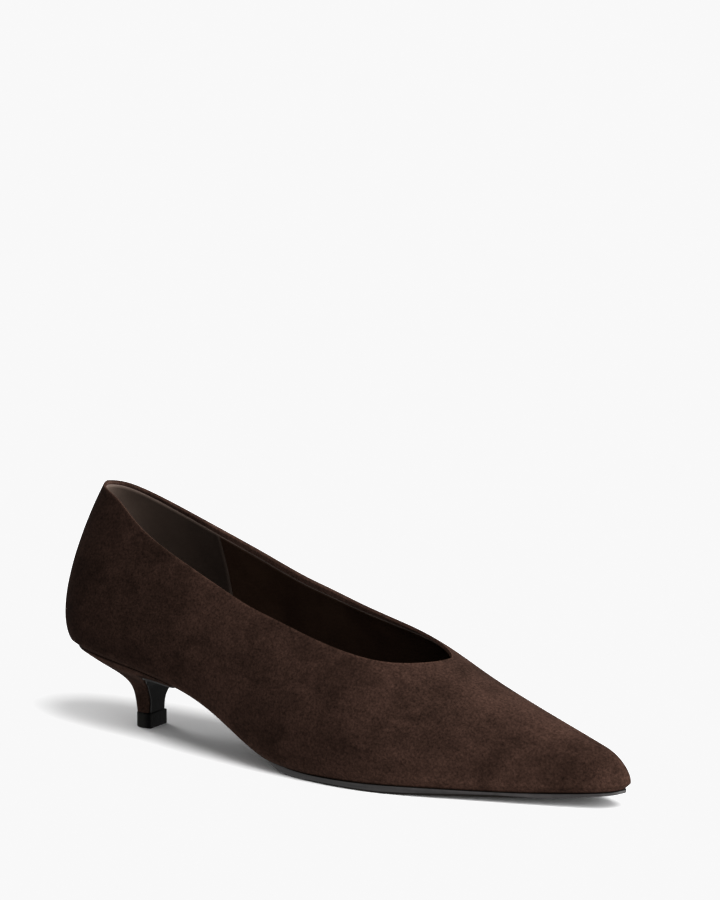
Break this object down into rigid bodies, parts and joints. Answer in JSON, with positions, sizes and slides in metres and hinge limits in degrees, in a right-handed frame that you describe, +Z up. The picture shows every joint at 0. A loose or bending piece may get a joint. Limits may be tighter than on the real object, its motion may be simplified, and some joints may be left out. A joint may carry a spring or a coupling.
{
  "type": "pump shoe",
  "caption": "Pointed-toe kitten-heel pump for the right foot: hollow suede upper, insole, thin sole that runs down the front of a flared heel, and a rubber top lift",
  "frame": {"origin": "middle of the bounding box in plan, on the floor plane that the sole and the heel tip stand on", "axes": "+X from heel to toe, +Z up, -Y towards the outer side of the foot"},
  "size_m": [0.271, 0.0764, 0.1],
  "materials": {
    "suede": "brushed suede with a short nap, dark brown",
    "sock_leather": "smooth lining leather, very dark brown",
    "sole_leather": "smooth sole leather with a painted dark grey edge",
    "heel_suede": "suede stretched over the heel block, dark brown",
    "lift_rubber": "hard black rubber, satin"
  },
  "bodies": {
    "root": {"upper": "suede", "insole": "sock_leather", "outsole": "sole_leather", "heel": "heel_suede", "top_lift": "lift_rubber"}
  },
  "joints": []
}
